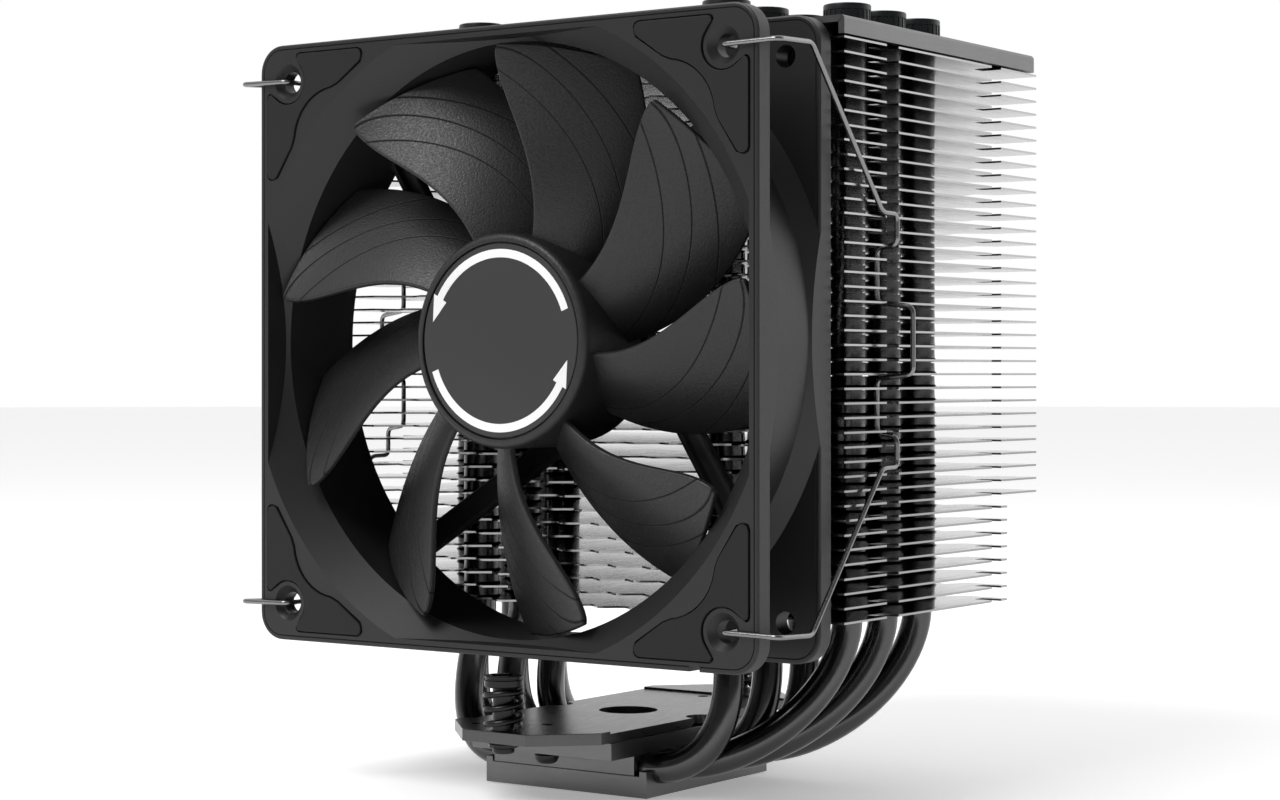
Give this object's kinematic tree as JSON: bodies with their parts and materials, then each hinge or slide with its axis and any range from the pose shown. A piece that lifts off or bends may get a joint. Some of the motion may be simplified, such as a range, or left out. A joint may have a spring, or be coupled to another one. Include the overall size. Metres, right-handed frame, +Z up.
{
  "type": "cpu tower cooler",
  "caption": "Tower heat sink with bent heat pipes through a stack of thin fins, cooled by a nine-blade fan held on by wire clips, over a spring-screwed cold plate.",
  "frame": {"origin": "centre of the cold plate's contact face, midway between the two spring screws", "axes": "+Z up the tower away from the processor, +Y from the fan towards the fins along the airflow, +X to the right when facing the fan's inlet"},
  "size_m": [0.1334, 0.1058, 0.1545],
  "materials": {
    "badge_plastic": "satin disc with two printed arrows",
    "base_metal": "satin dark plating",
    "black_steel": "black oxide",
    "board": "solder mask",
    "bracket_metal": "satin dark plating",
    "bronze": "sintered bearing metal",
    "cap_plastic": "satin black",
    "cover_metal": "satin dark plating",
    "fin_metal": "dark plated sheet",
    "frame_plastic": "fine spark-eroded satin",
    "magnet": "plastic-bonded magnet, matt",
    "pad_rubber": "matt",
    "pipe_metal": "glossy black nickel over copper",
    "rotor_plastic": "fine grained satin",
    "steel": "bright drawn",
    "winding": "enamelled copper"
  },
  "bodies": {
    "tower": {"fan_frame": "frame_plastic", "fan_pad_front_right_top": "pad_rubber", "fan_pad_front_left_top": "pad_rubber", "fan_pad_front_left_bottom": "pad_rubber", "fan_pad_front_right_bottom": "pad_rubber", "fan_pad_rear_right_top": "pad_rubber", "fan_pad_rear_left_top": "pad_rubber", "fan_pad_rear_left_bottom": "pad_rubber", "fan_pad_rear_right_bottom": "pad_rubber", "bearing_sleeve": "bronze", "stator": "winding", "motor_board": "board", "base_block": "base_metal", "cover_block": "base_metal", "mounting_bracket": "bracket_metal", "bracket_screw_front": "black_steel", "bracket_screw_rear": "black_steel", "screw_spring_front": "black_steel", "screw_spring_rear": "black_steel", "heat_pipe_1": "pipe_metal", "heat_pipe_2": "pipe_metal", "heat_pipe_3": "pipe_metal", "heat_pipe_4": "pipe_metal", "heat_pipe_5": "pipe_metal", "heat_pipe_6": "pipe_metal", "fin_stack_lower": "fin_metal", "fin_stack_upper": "fin_metal", "top_plate": "cover_metal", "pipe_cap_01": "cap_plastic", "pipe_cap_02": "cap_plastic", "pipe_cap_03": "cap_plastic", "pipe_cap_04": "cap_plastic", "pipe_cap_05": "cap_plastic", "pipe_cap_06": "cap_plastic", "pipe_cap_07": "cap_plastic", "pipe_cap_08": "cap_plastic", "pipe_cap_09": "cap_plastic", "pipe_cap_10": "cap_plastic", "pipe_cap_11": "cap_plastic", "pipe_cap_12": "cap_plastic"},
    "rotor": {"fan_rotor": "rotor_plastic", "hub_badge": "badge_plastic", "rotor_magnet_ring": "magnet", "fan_shaft": "steel"},
    "clip_right": {"fan_clip_right": "steel"},
    "clip_left": {"fan_clip_left": "steel"},
    "front_ring": {"retaining_ring_front": "black_steel"},
    "front_screw": {"spring_screw_front": "black_steel"},
    "rear_ring": {"retaining_ring_rear": "black_steel"},
    "rear_screw": {"spring_screw_rear": "black_steel"}
  },
  "joints": [
    {"name": "fan_spin", "type": "hinge", "parent": "tower", "child": "rotor", "pos_m": [0, -0.0445, 0.0884], "axis": [0, 1, 0], "continuous": true},
    {"name": "clip_right_swing", "type": "hinge", "parent": "tower", "child": "clip_right", "pos_m": [0.0525, -0.0451, 0.0884], "axis": [0, 0, -1], "range_deg": [0, 15], "stiffness_Nm_per_rad": 0.05},
    {"name": "clip_left_swing", "type": "hinge", "parent": "tower", "child": "clip_left", "pos_m": [-0.0525, -0.0451, 0.0884], "axis": [0, 0, 1], "range_deg": [0, 15], "stiffness_Nm_per_rad": 0.05},
    {"name": "front_screw_press", "type": "slide", "parent": "tower", "child": "front_ring", "axis": [0, 0, -1], "range_m": [0, 0.0035], "stiffness_N_per_m": 3000, "deforming": ["screw_spring_front"]},
    {"name": "front_screw_turn", "type": "hinge", "parent": "front_ring", "child": "front_screw", "pos_m": [0, -0.0411, 0.0184], "axis": [0, 0, -1], "continuous": true},
    {"name": "rear_screw_press", "type": "slide", "parent": "tower", "child": "rear_ring", "axis": [0, 0, -1], "range_m": [0, 0.0035], "stiffness_N_per_m": 3000, "deforming": ["screw_spring_rear"]},
    {"name": "rear_screw_turn", "type": "hinge", "parent": "rear_ring", "child": "rear_screw", "pos_m": [0, 0.0411, 0.0184], "axis": [0, 0, -1], "continuous": true}
  ]
}
